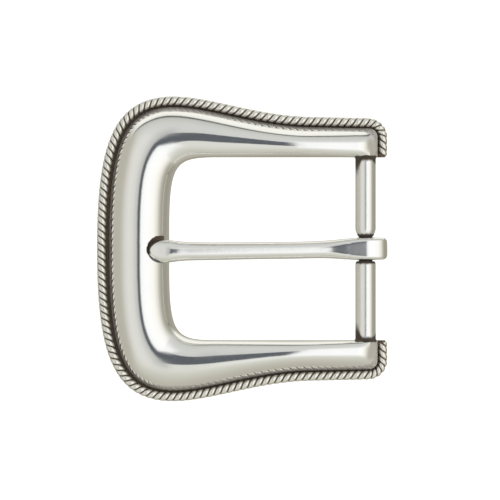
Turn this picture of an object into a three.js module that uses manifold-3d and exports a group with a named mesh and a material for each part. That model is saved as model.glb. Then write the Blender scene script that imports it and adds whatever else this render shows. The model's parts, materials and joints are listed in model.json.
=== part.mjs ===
// Belt buckle for a 38 mm strap: a domed C-shaped frame with a rope border,
// a turned strap bar across its open side, and a prong that swings on the bar.
// Millimetres, +Z up. The buckle lies on its back: z = 0 is the back plane, the
// strap bar is toward +X, and the origin is under the middle of the outline.
import * as THREE from 'three';
import { mergeVertices } from 'three/addons/utils/BufferGeometryUtils.js';
import Module from 'manifold-3d';

// --- Driving dimensions -------------------------------------------------------

// Outline in plan, upper half; the lower half is its mirror image.
const HALF_LENGTH = 31.6;          // x of the front edge and of the arm ends
const HALF_WIDTH = 33.2;           // y of the shoulders, the widest place
const SHOULDER_X = -15;            // where the outline is widest
const ARM_X = 16;                  // from here the arms run straight
const ARM_HALF_WIDTH = 28.7;       // half the width over the arms at ARM_X
const END_RADIUS = 4.15;           // outer corner at the end of an arm
const END_HALF_WIDTH = 28.45;      // half the width over the arm ends
const FRONT_BOW = 22.1;            // how far the front stays upright before it curves
const SHOULDER_BOW_FRONT = 13.6;   // how flat the shoulder is toward the front
const SHOULDER_BOW_ARM = 8.3;      // and toward the arm
const ARM_BOW = 12.3;              // how flat the waist runs into the arm

// Strap opening, upper half.
const OPENING_LEFT = -15.9;        // inner face of the front rail
const OPENING_HALF = 19.95;        // half the opening, which takes a 38 mm strap
const OPENING_STRAIGHT = 3.5;      // half the straight stretch of the front rail
const OPENING_CORNER_X = -4;       // where the opening's corner curve ends
const OPENING_BOW_Y = 19.8;        // reach of the corner curve along the rail
const OPENING_BOW_X = -14.5;       // and along the arm

// Border: a wire in a rebate round the rim, and a groove between it and the dome.
const ROPE_RADIUS = 1;
const ROPE_HEIGHT = 2.5;           // z of the rope's centre line
const LEDGE_HEIGHT = 1.4;          // top of the rebate that the rope lies on
const LEDGE_INSET = 0.35;          // the ledge stops short of the rope's outer side
const GROOVE_FRONT = 0.85;         // groove width at the front rail
const GROOVE_END = 0.25;           // groove width at the arm ends
const GROOVE_TAPER = 1.4;          // how soon the groove narrows along the shoulders

// Dome. Heights are above the back plane; pairs are the stretch of x in which a value
// passes from the front rail's to the arm's.
const CREST_HEIGHT = 7.5;          // front rail and shoulders
const CREST_END_HEIGHT = 6.1;      // toward the arm ends
const CREST_FALL = [9, 33];
const OUTER_FOOT_HEIGHT = 2;       // dome's foot in the groove
const OUTER_FOOT_ARM_HEIGHT = 2.8;
const OUTER_FOOT_RISE = [-24, -16];
const INNER_FOOT_HEIGHT = 3;       // top of the opening's wall at the front rail
const INNER_FOOT_ARM_HEIGHT = 4.9; // and along the arms
const INNER_FOOT_RISE = [-17, -5];
const CREST_PLACE_FRONT = 0.505;   // crest's place, as a share of the width from the opening
const CREST_PLACE_ARM = 0.43;
const CREST_PLACE_END = 0.365;
const CREST_SWING = [-23, -11];
const WAIST = [0, 20];             // where the crest takes its place at the arm's end
// Part of a quarter ellipse that each side of the dome shows: more means a steeper foot.
const FULLNESS = 0.98;
const FULLNESS_ARM = 0.75;         // on the outer side, beyond the front
// An arm's end bends down over the first part of its run and then keeps its slope.
const END_RUN = 4.3;
const END_BEND = 2.4;
const END_SLOPE = 0.69;
const LEAST_FALL = 0.4;            // from the crest to the opening's edge

// Back: chamfered edges and a hollow that lightens the casting.
const BACK_CHAMFER = 0.5;
const HOLLOW_DEPTH = 2.6;
const HOLLOW_WIDTH_SHARE = 0.4;
const HOLLOW_MAX_WIDTH = 5.6;
const HOLLOW_END_X = 17;           // the hollow has run out before the bar sockets
const HOLLOW_RUNOUT = 8;
// Section of the hollow: place across its half width, and share of its depth.
const HOLLOW_PROFILE = [[1, 0], [0.8, 0.75], [0.3, 1], [-0.3, 1], [-0.8, 0.75], [-1, 0]];

// Seat in the front rail for the prong's tip.
const SEAT_X = -17.6;
const SEAT_Y = -0.25;
const SEAT_RADIUS = 3.05;
const SEAT_FLOOR = 5.15;

// Strap bar.
const BAR_X = 26.85;
const BAR_HEIGHT = 2.9;            // z of the bar's axis
const BAR_RADIUS = 2.22;
const BAR_FLARE = 0.3;             // small fillet where the bar meets an arm
const BAR_GAP = 0.1;               // between the bar's shoulder and the arm
const TENON_RADIUS = 1.6;
const TENON_LENGTH = 2.6;
const SOCKET_CLEARANCE = 0.15;
const NECK_RADIUS = 1.5;
const NECK_HALF = 2.7;             // half the necked seat that the prong turns on
const NECK_TAPER = 1.8;
const LOWER_SHOULDER_EASE = 0.1;   // the neck's lower shoulder is nearly square
const UPPER_SHOULDER_STEP = 0.15;  // the upper one is a taper that starts with a small step
const UPPER_SHOULDER_EASE = 0.2;

// Prong.
const PRONG_SKEW = THREE.MathUtils.degToRad(0.7); // it leans in its bearing
const EYE_LENGTH = 4.75;           // from the bar's axis to the eye's round end
const EYE_HEIGHT = 2.85;           // from the bar's axis to the eye's top and bottom
const EYE_BACK = 3.4;              // from the bar's axis back to the end of the curl
const EYE_HALF_WIDTH = 2.35;
const EYE_CORNER_RADIUS = 1;       // in plan, at the eye's round end
const EYE_NOSE = 0.985;            // the eye's last section, just short of a sharp edge
const EYE_HOLE_RADIUS = 1.78;
const CURL_SLIT = 0.35;            // where the curl closes against the shank
const SHANK_EDGE_POWER = 1;        // 1 is a half-round top
const EYE_EDGE_POWER = 0.35;       // a lower power is a flatter top with tighter edges
const SQUARING = [10, 24];         // x where the shank's section turns into the eye's
const SIDE_SHARE = 0.25;           // upright part of the section's height

// Fineness of the facets.
const FRAME_STEPS = 44;            // sections from the front rail's middle to an arm end
const FRAME_CROWDING = 1.5;        // crowds the sections toward the arm's round end
const DOME_STEPS = 11;
const ROPE_STEPS = 128;
const ROPE_SIDES = 8;              // an even number
const ROUND_SIDES = 24;
const SHANK_STEPS = 30;
const EYE_STEPS = 8;
const ARCH_STEPS = 8;
const OUTLINE_SAMPLES = 240;
const CUT_OVERLAP = 1;             // how far a cutting tool reaches past what it cuts
const SLIT_OVERLAP = 0.3;

// --- Plan curves --------------------------------------------------------------

// The silhouette from the middle of the front rail round to the end of an arm.
function silhouettePath() {
  const endX = HALF_LENGTH - END_RADIUS;
  const path = new THREE.Path();
  path.moveTo(-HALF_LENGTH, 0);
  path.bezierCurveTo(
    -HALF_LENGTH, FRONT_BOW,
    SHOULDER_X - SHOULDER_BOW_FRONT, HALF_WIDTH,
    SHOULDER_X, HALF_WIDTH,
  );
  path.bezierCurveTo(
    SHOULDER_X + SHOULDER_BOW_ARM, HALF_WIDTH,
    ARM_X - ARM_BOW, ARM_HALF_WIDTH,
    ARM_X, ARM_HALF_WIDTH,
  );
  path.lineTo(endX, END_HALF_WIDTH);
  path.absarc(endX, END_HALF_WIDTH - END_RADIUS, END_RADIUS, Math.PI / 2, 0, true);
  path.lineTo(HALF_LENGTH, OPENING_HALF);
  return path;
}

// The opening's edge from the middle of the front rail to the end of an arm.
function openingPath(endX) {
  const path = new THREE.Path();
  path.moveTo(OPENING_LEFT, 0);
  path.lineTo(OPENING_LEFT, OPENING_STRAIGHT);
  path.bezierCurveTo(
    OPENING_LEFT, OPENING_BOW_Y,
    OPENING_BOW_X, OPENING_HALF,
    OPENING_CORNER_X, OPENING_HALF,
  );
  path.lineTo(endX, OPENING_HALF);
  return path;
}

function smoothStep(from, to, value) {
  return THREE.MathUtils.smoothstep(value, from, to);
}

function mix(from, to, share) {
  return from + (to - from) * share;
}

const silhouette = silhouettePath();

// The point at share u of the silhouette's length, moved inward by a distance.
function insetPoint(u, inset) {
  const point = silhouette.getPointAt(u);
  const tangent = silhouette.getTangentAt(u);
  return new THREE.Vector2(point.x + tangent.y * inset, point.y - tangent.x * inset);
}

// Distance from the silhouette to the dome's foot, past the rope and the groove.
function footInset(u) {
  return 2 * ROPE_RADIUS + mix(GROOVE_END, GROOVE_FRONT, (1 - u) ** GROOVE_TAPER);
}

function closestPoint(polyline, point) {
  const best = { distance: Infinity, point: polyline[0] };
  for (let i = 1; i < polyline.length; i += 1) {
    const edge = polyline[i].clone().sub(polyline[i - 1]);
    const along = point.clone().sub(polyline[i - 1]).dot(edge) / edge.lengthSq();
    const foot = polyline[i - 1].clone().addScaledVector(edge, THREE.MathUtils.clamp(along, 0, 1));
    const distance = foot.distanceTo(point);
    if (distance < best.distance) {
      best.distance = distance;
      best.point = foot;
    }
  }
  return best;
}

// The same edge up to a place on the arm, then straight on past the arm's end.
function continued(polyline, fromX) {
  const kept = polyline.filter((point) => point.x <= fromX);
  return [...kept, new THREE.Vector2(2 * HALF_LENGTH, kept.at(-1).y)];
}

const DOME_END_X = HALF_LENGTH - footInset(1);
const domeFootLine = [];
for (let i = 0; i <= OUTLINE_SAMPLES; i += 1) {
  domeFootLine.push(insetPoint(i / OUTLINE_SAMPLES, footInset(i / OUTLINE_SAMPLES)));
}
const openingLine = openingPath(DOME_END_X - SOCKET_CLEARANCE).getSpacedPoints(OUTLINE_SAMPLES);
const outerSide = continued(domeFootLine, HALF_LENGTH - END_RADIUS);
const innerSide = continued(openingLine, DOME_END_X);

// --- Frame --------------------------------------------------------------------

// Share of the fall from the crest at a share of the way to the foot.
function domeFall(reach, fullness) {
  return (1 - Math.sqrt(1 - (fullness * reach) ** 2)) / (1 - Math.sqrt(1 - fullness ** 2));
}

// How far the crest has dropped toward an arm's end.
function endDrop(x) {
  const into = THREE.MathUtils.clamp(END_RUN - (DOME_END_X - x), 0, END_RUN);
  return END_SLOPE * (into < END_BEND ? into ** 2 / (2 * END_BEND) : into - END_BEND / 2);
}

// Height of the dome over a point of the plan. It falls from the crest to the groove
// on one side and to the opening's edge on the other, and bends down at an arm's end.
function domeHeight(point) {
  const { x } = point;
  const toOuter = closestPoint(outerSide, point).distance;
  const toInner = closestPoint(innerSide, point).distance;
  const across = toInner / (toInner + toOuter);
  const placeBeforeWaist = mix(CREST_PLACE_FRONT, CREST_PLACE_ARM, smoothStep(...CREST_SWING, x));
  const crestPlace = mix(placeBeforeWaist, CREST_PLACE_END, smoothStep(...WAIST, x));
  const crest = mix(CREST_HEIGHT, CREST_END_HEIGHT, smoothStep(...CREST_FALL, x)) - endDrop(x);
  const pastFront = smoothStep(...OUTER_FOOT_RISE, x);
  const outerFoot = mix(OUTER_FOOT_HEIGHT, OUTER_FOOT_ARM_HEIGHT, pastFront);
  const wallTop = mix(INNER_FOOT_HEIGHT, INNER_FOOT_ARM_HEIGHT, smoothStep(...INNER_FOOT_RISE, x));
  const innerFoot = Math.min(wallTop, crest - LEAST_FALL);
  const outward = THREE.MathUtils.clamp((across - crestPlace) / (1 - crestPlace), 0, 1);
  const inward = THREE.MathUtils.clamp((crestPlace - across) / crestPlace, 0, 1);
  const outerFall = (crest - outerFoot) * domeFall(outward, mix(FULLNESS, FULLNESS_ARM, pastFront));
  const innerFall = (crest - innerFoot) * domeFall(inward, FULLNESS);
  return crest - outerFall - innerFall;
}

// One closed section of the frame, from the opening's wall over the dome and the
// ledge and back along the hollowed back.
function frameSection(u) {
  const foot = insetPoint(u, footInset(u));
  const ledge = insetPoint(u, LEDGE_INSET);
  const inner = closestPoint(openingLine, foot).point;
  const across = ledge.clone().sub(inner);
  const width = across.length();
  const section = [];
  const addAcross = (distance, z) => {
    const point = inner.clone().addScaledVector(across, distance / width);
    section.push(new THREE.Vector3(point.x, point.y, z));
  };

  addAcross(BACK_CHAMFER, 0);
  addAcross(0, BACK_CHAMFER);
  for (let i = 0; i <= DOME_STEPS; i += 1) {
    const share = (1 - Math.cos((Math.PI * i) / DOME_STEPS)) / 2;
    const point = inner.clone().lerp(foot, share);
    section.push(new THREE.Vector3(point.x, point.y, domeHeight(point)));
  }
  section.push(new THREE.Vector3(foot.x, foot.y, LEDGE_HEIGHT));
  addAcross(width, LEDGE_HEIGHT);
  addAcross(width, BACK_CHAMFER);
  addAcross(width - BACK_CHAMFER, 0);

  const hollowHalf = Math.min(width * HOLLOW_WIDTH_SHARE, HOLLOW_MAX_WIDTH) / 2;
  const depth = HOLLOW_DEPTH * (1 - smoothStep(HOLLOW_END_X - HOLLOW_RUNOUT, HOLLOW_END_X, foot.x));
  for (const [side, rise] of HOLLOW_PROFILE) {
    addAcross(width / 2 + side * hollowHalf, depth * rise);
  }
  return section;
}

// Closed solid through a row of equal-length closed sections, capped at both ends.
function loft(sections) {
  const count = sections[0].length;
  const positions = sections.flatMap((section) => section.flatMap((p) => [p.x, p.y, p.z]));
  const indices = [];
  for (let row = 0; row + 1 < sections.length; row += 1) {
    for (let i = 0; i < count; i += 1) {
      const a = row * count + i;
      const b = row * count + ((i + 1) % count);
      indices.push(a, b, b + count, a, b + count, a + count);
    }
  }
  const last = (sections.length - 1) * count;
  for (const [offset, section, flip] of [[0, sections[0], true], [last, sections.at(-1), false]]) {
    for (const [a, b, c] of THREE.ShapeUtils.triangulateShape(flattened(section), [])) {
      const ordered = flip ? [a, c, b] : [a, b, c];
      indices.push(...ordered.map((i) => i + offset));
    }
  }
  const geometry = new THREE.BufferGeometry();
  geometry.setAttribute('position', new THREE.Float32BufferAttribute(positions, 3));
  geometry.setIndex(indices);
  return geometry;
}

// A planar section in its own plane's coordinates, turning the way the section turns.
function flattened(section) {
  const normal = new THREE.Vector3();
  section.forEach((point, i) => {
    normal.add(new THREE.Vector3().crossVectors(point, section[(i + 1) % section.length]));
  });
  normal.normalize();
  const up = Math.abs(normal.z) < 0.9 ? new THREE.Vector3(0, 0, 1) : new THREE.Vector3(1, 0, 0);
  const right = new THREE.Vector3().crossVectors(up, normal).normalize();
  const top = new THREE.Vector3().crossVectors(normal, right);
  return section.map((point) => new THREE.Vector2(point.dot(right), point.dot(top)));
}

// --- Solids -------------------------------------------------------------------

const wasm = await Module();
wasm.setup();

function toSolid(geometry) {
  const bare = geometry.clone();
  bare.deleteAttribute('normal');
  bare.deleteAttribute('uv');
  const merged = mergeVertices(bare, 1e-4);
  return new wasm.Manifold(new wasm.Mesh({
    numProp: 3,
    vertProperties: new Float32Array(merged.getAttribute('position').array),
    triVerts: new Uint32Array(merged.getIndex().array),
  }));
}

function toGeometry(solid) {
  const mesh = solid.getMesh();
  const geometry = new THREE.BufferGeometry();
  geometry.setAttribute('position', new THREE.BufferAttribute(mesh.vertProperties, 3));
  geometry.setIndex(new THREE.BufferAttribute(mesh.triVerts, 1));
  geometry.computeVertexNormals();
  return geometry;
}

// A cylinder along Y through the bar's axis, between two values of y.
function barCylinder(radius, fromY, toY) {
  const geometry = new THREE.CylinderGeometry(radius, radius, toY - fromY, ROUND_SIDES);
  geometry.translate(BAR_X, (fromY + toY) / 2, BAR_HEIGHT);
  return geometry;
}

function frameGeometry() {
  const half = [];
  for (let i = 0; i <= FRAME_STEPS; i += 1) {
    half.push(frameSection(1 - (1 - i / FRAME_STEPS) ** FRAME_CROWDING));
  }
  const mirrored = half.slice(1).map((section) => (
    section.map((point) => new THREE.Vector3(point.x, -point.y, point.z))
  ));
  const blank = toSolid(loft([...half.reverse(), ...mirrored]));

  const seat = new THREE.CylinderGeometry(SEAT_RADIUS, SEAT_RADIUS, CREST_HEIGHT, ROUND_SIDES);
  seat.rotateX(Math.PI / 2);
  seat.translate(SEAT_X, SEAT_Y, SEAT_FLOOR + CREST_HEIGHT / 2);

  const socketRadius = TENON_RADIUS + SOCKET_CLEARANCE;
  const socketStart = OPENING_HALF - CUT_OVERLAP;
  const socketEnd = OPENING_HALF + TENON_LENGTH + 2 * SOCKET_CLEARANCE;
  const upperSocket = barCylinder(socketRadius, socketStart, socketEnd);
  const lowerSocket = barCylinder(socketRadius, -socketEnd, -socketStart);
  const tools = [seat, upperSocket, lowerSocket].map(toSolid);
  return toGeometry(tools.reduce((frame, tool) => frame.subtract(tool), blank));
}

// --- Rope border --------------------------------------------------------------

// Centre line of the rope, from one arm end round the front to the other.
class RopeCurve extends THREE.Curve {
  getPoint(t, target = new THREE.Vector3()) {
    const side = t < 0.5 ? -1 : 1;
    const point = insetPoint(Math.abs(2 * t - 1), ROPE_RADIUS);
    return target.set(point.x, side * point.y, ROPE_HEIGHT);
  }
}

function ropeGeometry() {
  const section = new THREE.Shape();
  section.absarc(0, 0, ROPE_RADIUS, 0, 2 * Math.PI);
  return new THREE.ExtrudeGeometry(section, {
    steps: ROPE_STEPS,
    curveSegments: ROPE_SIDES / 2, // a full arc is given twice its curve segments
    extrudePath: new RopeCurve(),
  });
}

// --- Strap bar ----------------------------------------------------------------

// Turned profile from one tenon's end to the other: shoulders, fillets and the
// necked seat, tapered on its upper side and nearly square on its lower side.
function barGeometry() {
  const shoulder = OPENING_HALF - BAR_GAP;
  const tenonEnd = OPENING_HALF + TENON_LENGTH;
  const profile = [
    [0, -tenonEnd],
    [TENON_RADIUS, -tenonEnd],
    [TENON_RADIUS, -shoulder],
    [BAR_RADIUS + BAR_FLARE, -shoulder],
    [BAR_RADIUS + BAR_FLARE / 3, -shoulder + BAR_FLARE / 2],
    [BAR_RADIUS, -shoulder + 1.5 * BAR_FLARE],
    [BAR_RADIUS, -NECK_HALF - NECK_TAPER / 2],
    [BAR_RADIUS - LOWER_SHOULDER_EASE, -NECK_HALF],
    [NECK_RADIUS, -NECK_HALF],
    [NECK_RADIUS, NECK_HALF],
    [NECK_RADIUS + UPPER_SHOULDER_STEP, NECK_HALF],
    [BAR_RADIUS - UPPER_SHOULDER_EASE, NECK_HALF + NECK_TAPER / 2],
    [BAR_RADIUS, NECK_HALF + NECK_TAPER],
    [BAR_RADIUS, shoulder - 1.5 * BAR_FLARE],
    [BAR_RADIUS + BAR_FLARE / 3, shoulder - BAR_FLARE / 2],
    [BAR_RADIUS + BAR_FLARE, shoulder],
    [TENON_RADIUS, shoulder],
    [TENON_RADIUS, tenonEnd],
    [0, tenonEnd],
  ];
  const outline = profile.map(([radius, y]) => new THREE.Vector2(radius, y));
  const geometry = new THREE.LatheGeometry(outline, ROUND_SIDES);
  geometry.translate(BAR_X, 0, BAR_HEIGHT);
  return geometry;
}

// --- Prong --------------------------------------------------------------------

// Half width, top and underside of the shank, at a few places from tip to eye.
const SHANK = [
  { x: -20.2, half: 0.55, top: 6.45, under: 5.5 },
  { x: -19.3, half: 1.45, top: 6.95, under: 5.4 },
  { x: -17.6, half: 2.45, top: 7.4, under: 5.4 },
  { x: -15.2, half: 2.4, top: 7.65, under: 5.45 },
  { x: -12, half: 2.03, top: 7.55, under: 5.3 },
  { x: -4, half: 1.92, top: 7.12, under: 4.9 },
  { x: 8, half: 1.87, top: 6.4, under: 4.2 },
  { x: 16, half: 1.88, top: 5.95, under: 3.75 },
  { x: 20, half: 2.02, top: 5.78, under: 3.5 },
  { x: 22.6, half: 2.22, top: BAR_HEIGHT + EYE_HEIGHT, under: 3.35 },
];

function shankCurve(field) {
  return new THREE.CatmullRomCurve3(
    SHANK.map((station) => new THREE.Vector3(station.x, station[field], 0)),
    false,
    'centripetal',
  );
}

// One section of the prong: a flat underside and a rounded top, which turns from
// a half round on the shank to a flat with eased edges over the eye.
function prongSection(x, half, top, under) {
  const power = mix(SHANK_EDGE_POWER, EYE_EDGE_POWER, smoothStep(...SQUARING, x));
  const section = [new THREE.Vector3(x, -half, under), new THREE.Vector3(x, half, under)];
  for (let i = 0; i <= ARCH_STEPS; i += 1) {
    const angle = (Math.PI * i) / ARCH_STEPS;
    const spread = Math.sign(Math.cos(angle)) * Math.abs(Math.cos(angle)) ** power;
    const rise = mix(SIDE_SHARE, 1, Math.sin(angle) ** power);
    section.push(new THREE.Vector3(x, half * spread, mix(under, top, rise)));
  }
  return section;
}

function shankSections() {
  const curves = [shankCurve('half'), shankCurve('top'), shankCurve('under')];
  const sections = [];
  for (let i = 0; i <= SHANK_STEPS; i += 1) {
    const points = curves.map((curve) => curve.getPoint(i / SHANK_STEPS));
    sections.push(prongSection(points[0].x, ...points.map((point) => point.y)));
  }
  return sections;
}

// The eye: an ellipse round the bar, flat on top as far as the bar's axis.
function eyeSections() {
  const top = BAR_HEIGHT + EYE_HEIGHT;
  const sections = [];
  for (let i = 0; i <= EYE_STEPS; i += 1) {
    const angle = (Math.PI / 2) * (i / EYE_STEPS);
    const half = mix(SHANK.at(-1).half, EYE_HALF_WIDTH, i / EYE_STEPS);
    const under = BAR_HEIGHT - EYE_HEIGHT * Math.sin(angle);
    sections.push(prongSection(BAR_X - EYE_BACK * Math.cos(angle), half, top, under));
  }
  for (let i = 1; i <= EYE_STEPS; i += 1) {
    const angle = (Math.PI / 2) * Math.min(i / EYE_STEPS, EYE_NOSE);
    const x = BAR_X + EYE_LENGTH * Math.sin(angle);
    const rise = EYE_HEIGHT * Math.cos(angle);
    const intoCorner = Math.max(0, 1 - (BAR_X + EYE_LENGTH - x) / EYE_CORNER_RADIUS);
    const half = EYE_HALF_WIDTH - EYE_CORNER_RADIUS * (1 - Math.sqrt(1 - intoCorner ** 2));
    sections.push(prongSection(x, half, BAR_HEIGHT + rise, BAR_HEIGHT - rise));
  }
  return sections;
}

function prongGeometry() {
  const halfCut = NECK_HALF + CUT_OVERLAP;
  const hole = barCylinder(EYE_HOLE_RADIUS, -halfCut, halfCut);
  const slitLength = EYE_BACK - EYE_HOLE_RADIUS + CUT_OVERLAP;
  const slit = new THREE.BoxGeometry(slitLength, 2 * halfCut, CURL_SLIT);
  slit.translate(BAR_X - EYE_HOLE_RADIUS + SLIT_OVERLAP - slitLength / 2, 0, BAR_HEIGHT);
  const blank = toSolid(loft([...shankSections(), ...eyeSections()]));
  const geometry = toGeometry(blank.subtract(toSolid(hole)).subtract(toSolid(slit)));
  geometry.translate(-BAR_X, 0, 0);
  geometry.rotateZ(PRONG_SKEW);
  geometry.translate(BAR_X, 0, 0);
  return geometry;
}

// --- Assembly -----------------------------------------------------------------

function piece(name, geometry, color, roughness) {
  const material = new THREE.MeshStandardMaterial({ color, roughness, metalness: 1 });
  const mesh = new THREE.Mesh(geometry, material);
  mesh.name = name;
  return mesh;
}

const buckle = new THREE.Group();
buckle.add(
  piece('frame_casting', frameGeometry(), 0xd6d3c8, 0.16),
  piece('rope_border', ropeGeometry(), 0xb9b4a4, 0.28),
  piece('strap_bar', barGeometry(), 0xcfccc0, 0.2),
  piece('prong', prongGeometry(), 0xd2cfc4, 0.18),
);

export default buckle;
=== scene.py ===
import json
import math

import bmesh
import bpy
import numpy as np
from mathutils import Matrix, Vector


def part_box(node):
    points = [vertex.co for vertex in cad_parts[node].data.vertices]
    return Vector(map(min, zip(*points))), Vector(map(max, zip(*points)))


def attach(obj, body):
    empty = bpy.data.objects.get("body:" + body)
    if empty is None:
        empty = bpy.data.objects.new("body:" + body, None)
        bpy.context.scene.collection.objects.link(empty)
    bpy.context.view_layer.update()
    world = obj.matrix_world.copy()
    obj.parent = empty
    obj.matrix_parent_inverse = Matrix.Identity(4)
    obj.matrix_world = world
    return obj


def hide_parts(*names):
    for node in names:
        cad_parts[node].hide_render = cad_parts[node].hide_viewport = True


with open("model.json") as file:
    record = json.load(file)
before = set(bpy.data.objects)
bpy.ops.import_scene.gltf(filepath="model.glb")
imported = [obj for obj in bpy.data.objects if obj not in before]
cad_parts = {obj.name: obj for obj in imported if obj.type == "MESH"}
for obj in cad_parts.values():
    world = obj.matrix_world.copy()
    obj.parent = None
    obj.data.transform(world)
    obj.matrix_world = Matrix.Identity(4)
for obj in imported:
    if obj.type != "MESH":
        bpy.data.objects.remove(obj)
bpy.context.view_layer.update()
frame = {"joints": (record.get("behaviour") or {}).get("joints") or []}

MM = 0.001

# The shapes are worked out in millimetres, in the frame's own axes: the buckle lies
# on its back plane z = 0, the strap bar is toward +X and runs along Y.

# --- Driving dimensions, in millimetres ----------------------------------------

FRAME_BOX = [np.array(corner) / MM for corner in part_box("frame_casting")]
ROPE_BOX = [np.array(corner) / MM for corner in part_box("rope_border")]
HINGE = np.array(frame["joints"][0]["pos_m"]) / MM

# Outline in plan, upper half; the lower half is its mirror image.
HALF_LENGTH = 31.6
HALF_WIDTH = 33.2
SHOULDER_X = -15.0
ARM_X = 16.0
ARM_HALF_WIDTH = 28.7
END_RADIUS = 4.15
END_HALF_WIDTH = 28.45
FRONT_BOW = 22.1            # how far the front stays upright before it curves
SHOULDER_BOW_FRONT = 13.6   # how flat the shoulder is toward the front
SHOULDER_BOW_ARM = 8.3      # and toward the arm
ARM_BOW = 12.3              # how flat the waist runs into the arm

# Strap opening, upper half.
OPENING_LEFT = -15.9
OPENING_HALF = 19.95
OPENING_STRAIGHT = 3.5
OPENING_CORNER_X = -4.0
OPENING_BOW_Y = 19.8        # reach of the corner curve along the rail
OPENING_BOW_X = -14.5       # and along the arm

# Rope border, rebate and groove.
ROPE_RADIUS = 1.0
ROPE_HEIGHT = (ROPE_BOX[0][2] + ROPE_BOX[1][2]) / 2
LEDGE_HEIGHT = 1.4
LEDGE_INSET = 0.35
LEDGE_ROUNDING = 0.25
GROOVE_FRONT = 0.62
GROOVE_END = 0.2
GROOVE_TAPER = 1.4

# Dome. Pairs are the stretch of x in which a value passes from the front rail's to the arm's.
CREST_HEIGHT = FRAME_BOX[1][2]
CREST_END_HEIGHT = 6.1
CREST_FALL = (9.0, 33.0)
OUTER_FOOT_HEIGHT = 2.0
OUTER_FOOT_ARM_HEIGHT = 2.8
OUTER_FOOT_RISE = (-24.0, -16.0)
INNER_FOOT_HEIGHT = 3.0
INNER_FOOT_ARM_HEIGHT = 4.9
INNER_FOOT_RISE = (-17.0, -5.0)
# Where the crest lies, as a share of the rail's width from the opening.
CREST_PLACE_FRONT = 0.505
CREST_PLACE_ARM = 0.43
CREST_PLACE_END = 0.365
CREST_SWING = (-23.0, -11.0)
# An arm's end bends down over the first part of its run and then keeps its slope.
END_RUN = 4.3
END_BEND = 2.4
END_SLOPE = 0.69
LEAST_FALL = 0.4            # from the crest to the opening's edge
# How much of a quarter ellipse each side of the dome shows: fuller means a steeper foot.
FULLNESS = 0.98
FULLNESS_ARM = 0.75         # on the outer side, beyond the front
WAIST = (0.0, 20.0)         # where the crest takes its place at the arm's end
FRAME_END_GAP = 0.15        # the visible frame stops this far short of the dome's end
SIDE_TURN_BACK = 0.5        # the dome's sides run straight from this far before an arm's end
SIDE_REACH = 15.0           # to this far past it

# Back of the casting.
BACK_ROUNDING = 0.5
HOLLOW_DEPTH = 2.6
HOLLOW_WIDTH_SHARE = 0.4
HOLLOW_MAX_WIDTH = 5.6
HOLLOW_END_X = 17.0
HOLLOW_RUNOUT = 8.0
HOLLOW_BRIM = 1.06          # where the back turns into the hollow, in hollow half widths
HOLLOW_SIDE_POWER = 0.8     # below 1, the hollow's floor is flatter than a half ellipse
HOLLOW_RISE_POWER = 0.9
LAND_STEP = 0.3             # the land's extra row of points, as a share of its width

# Seat for the prong's tip.
SEAT_CENTRE = np.array([-17.6, -0.14])
SEAT_RADIUS = 2.92
SEAT_FLOOR = 5.15

# Patina on the frame, with painted shade on the seat's +Y side. Heights in the groove are above the
# dome's foot.
GROOVE_REACH = 0.9          # how far past the front's groove it may lie
GROOVE_DARK = (-0.3, 0.2)
GROOVE_HAZE = (1.3, 2.3)    # a dull haze above the dark, which ends here
GROOVE_HAZE_AMOUNT = 0.47
REBATE_DEPTH = 0.35         # how far below the ledge the dark reaches
SEAT_DARK = (-2.0, -0.2)    # y from the seat's centre at which the seat's dark sets in: patina, kept to the +Y side as painted shade
SEAT_MARGIN = (0.03, 0.1)   # beyond the seat's wall and below its floor
BAR_END_DARK = 0.7          # width of the dark ring round the bar's ends
BAR_END_MARGIN = 0.3

# Rope strands.
STRAND_PITCH = 1.5
STRANDS = 2
STRAND_DEPTH = 0.5
STRAND_FULLNESS = 0.99
ROPE_END_ROUNDING = 0.9
ROPE_END_FULLNESS = 0.85
ROPE_SIDES = 44
STRAND_STEPS = 12
# Patina on the rope between the strands; on the side toward the dome, patina with painted shade; and
# darker low down.
CREVICE_DEPTH = (0.25, 0.1)
INNER_SIDE = (1.6, 1.95)
INNER_SIDE_AMOUNT = 0.6
LOW_DEPTH = (0.7, 0.3)
LOW_AMOUNT = 0.8

# Strap bar.
BAR_RADIUS = 2.22
BAR_FLARE = 0.3
BAR_FLARE_LENGTH = 0.5
BAR_INSERT = 0.06           # how far the visible bar reaches into each arm
NECK_RADIUS = 1.5
NECK_HALF = 2.7
NECK_TAPER = 1.8
UPPER_SHOULDER_START = 0.1  # the taper begins this far inside the neck, with a small step
UPPER_SHOULDER_STEP = 0.12
UPPER_SHOULDER_POWER = 0.6
LOWER_SHOULDER_RUN = 0.7
LOWER_SHOULDER_EASE = 0.3
# How far the patina creeps from the arms along the bar: on its top, and at its front side.
BAR_STAIN = (1.5, 7.0)
BAR_STAIN_FRONT = (-0.3, -1.0)    # where the front side sets in, in bar radii from the axis
BAR_STAIN_REAR = (0.5, 1.0)
BAR_STAIN_REAR_SHARE = 0.35       # the rear side's, as a share of the front side's
# Patina with painted shade: how far the bar darkens from the neck, beside the prong's eye.
NECK_PATINA_AND_SHADE = 1.1

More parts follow.
